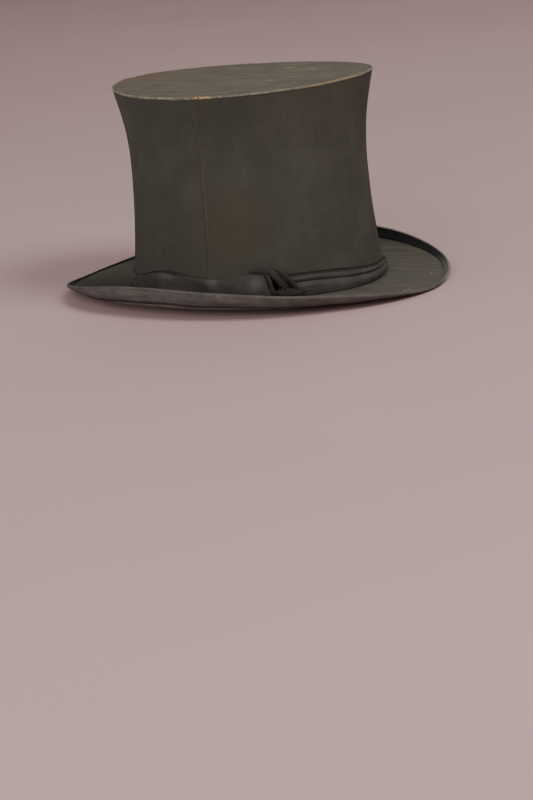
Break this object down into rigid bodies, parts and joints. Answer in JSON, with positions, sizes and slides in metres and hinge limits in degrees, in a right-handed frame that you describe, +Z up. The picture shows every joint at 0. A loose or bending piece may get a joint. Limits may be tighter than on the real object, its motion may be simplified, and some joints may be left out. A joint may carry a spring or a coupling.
{
  "type": "collapsible top hat",
  "caption": "Collapsible black top hat with a flared crown, a brim curled up at the sides, a ribbon band with a flat bow, and an inner folding frame of sprung struts.",
  "frame": {"origin": "centre of the head opening, in the middle plane of the brim board", "axes": "+Z up towards the tip, -Y to the front of the hat, +X to the wearer's left"},
  "size_m": [0.2548, 0.3092, 0.1598],
  "materials": {
    "crown_cloth": "matt ribbed cloth, faded",
    "brim_cloth": "matt cloth, worn",
    "ribbon": "ribbed silk ribbon",
    "satin": "satin weave",
    "leather": "semi-matt",
    "stiffened_board": "shellac-stiffened cloth board",
    "black_steel": "black lacquer",
    "bright_steel": "plain"
  },
  "bodies": {
    "brim_and_base": {"brim_board": "stiffened_board", "brim_collar": "stiffened_board", "brim_top_cloth": "brim_cloth", "brim_under_cloth": "brim_cloth", "brim_wire": "bright_steel", "brim_binding": "ribbon", "crown_side_cover": "crown_cloth", "side_lining": "satin", "base_ring": "black_steel", "sweatband": "leather", "sweatband_reed": "leather", "sweatband_bow": "satin", "hat_band": "ribbon", "bow_loop": "ribbon", "bow_knot": "ribbon", "lower_bracket_1": "black_steel", "lower_pin_1": "bright_steel", "lower_bracket_2": "black_steel", "lower_pin_2": "bright_steel", "lower_bracket_3": "black_steel", "lower_pin_3": "bright_steel", "lower_bracket_4": "black_steel", "lower_pin_4": "bright_steel"},
    "lower_arm_body_1": {"lower_arm_1": "black_steel", "knee_pin_1": "bright_steel", "knee_spring_1": "bright_steel"},
    "upper_arm_body_1": {"upper_arm_1": "black_steel"},
    "lower_arm_body_2": {"lower_arm_2": "black_steel", "knee_pin_2": "bright_steel", "knee_spring_2": "bright_steel"},
    "upper_arm_body_2": {"upper_arm_2": "black_steel"},
    "lower_arm_body_3": {"lower_arm_3": "black_steel", "knee_pin_3": "bright_steel", "knee_spring_3": "bright_steel"},
    "upper_arm_body_3": {"upper_arm_3": "black_steel"},
    "lower_arm_body_4": {"lower_arm_4": "black_steel", "knee_pin_4": "bright_steel", "knee_spring_4": "bright_steel"},
    "upper_arm_body_4": {"upper_arm_4": "black_steel"},
    "crown_top": {"top_ring": "black_steel", "tip_board": "stiffened_board", "tip_cover": "crown_cloth", "tip_welt": "crown_cloth", "tip_lining": "satin", "upper_bracket_1": "black_steel", "upper_pin_1": "bright_steel", "upper_bracket_2": "black_steel", "upper_pin_2": "bright_steel", "upper_bracket_3": "black_steel", "upper_pin_3": "bright_steel", "upper_bracket_4": "black_steel", "upper_pin_4": "bright_steel"}
  },
  "joints": [
    {"name": "crown_fold", "type": "hinge", "parent": "brim_and_base", "child": "lower_arm_body_1", "pos_m": [0.05148, 0.06426, 0.032], "axis": [0.6446, -0.7645, 0], "range_deg": [0, 81], "stiffness_Nm_per_rad": 0.14, "springref_deg": -63.03, "deforming": ["crown_side_cover", "side_lining"]},
    {"name": "knee_1", "type": "hinge", "parent": "lower_arm_body_1", "child": "upper_arm_body_1", "pos_m": [0.04849, 0.06174, 0.088], "axis": [0.6446, -0.7645, 0], "range_deg": [-162, 0], "deforming": ["knee_spring_1"]},
    {"name": "tip_level", "type": "hinge", "parent": "upper_arm_body_1", "child": "crown_top", "pos_m": [0.05148, 0.06426, 0.144], "axis": [0.6446, -0.7645, 0], "range_deg": [0, 81]},
    {"name": "strut_2_fold", "type": "hinge", "parent": "brim_and_base", "child": "lower_arm_body_2", "pos_m": [-0.05148, 0.06426, 0.032], "axis": [0.6446, 0.7645, 0], "range_deg": [0, 81]},
    {"name": "knee_2", "type": "hinge", "parent": "lower_arm_body_2", "child": "upper_arm_body_2", "pos_m": [-0.04849, 0.06174, 0.088], "axis": [0.6446, 0.7645, 0], "range_deg": [-162, 0], "deforming": ["knee_spring_2"]},
    {"name": "strut_3_fold", "type": "hinge", "parent": "brim_and_base", "child": "lower_arm_body_3", "pos_m": [-0.05148, -0.06426, 0.032], "axis": [-0.6446, 0.7645, 0], "range_deg": [0, 81]},
    {"name": "knee_3", "type": "hinge", "parent": "lower_arm_body_3", "child": "upper_arm_body_3", "pos_m": [-0.04849, -0.06174, 0.088], "axis": [-0.6446, 0.7645, 0], "range_deg": [-162, 0], "deforming": ["knee_spring_3"]},
    {"name": "strut_4_fold", "type": "hinge", "parent": "brim_and_base", "child": "lower_arm_body_4", "pos_m": [0.05148, -0.06426, 0.032], "axis": [-0.6446, -0.7645, 0], "range_deg": [0, 81]},
    {"name": "knee_4", "type": "hinge", "parent": "lower_arm_body_4", "child": "upper_arm_body_4", "pos_m": [0.04849, -0.06174, 0.088], "axis": [-0.6446, -0.7645, 0], "range_deg": [-162, 0], "deforming": ["knee_spring_4"]}
  ],
  "couplings": [
    {"joint": "knee_1", "follows": "crown_fold", "ratio": -2},
    {"joint": "tip_level", "follows": "crown_fold", "ratio": 1},
    {"joint": "strut_2_fold", "follows": "crown_fold", "ratio": 1},
    {"joint": "knee_2", "follows": "crown_fold", "ratio": -2},
    {"joint": "strut_3_fold", "follows": "crown_fold", "ratio": 1},
    {"joint": "knee_3", "follows": "crown_fold", "ratio": -2},
    {"joint": "strut_4_fold", "follows": "crown_fold", "ratio": 1},
    {"joint": "knee_4", "follows": "crown_fold", "ratio": -2}
  ]
}
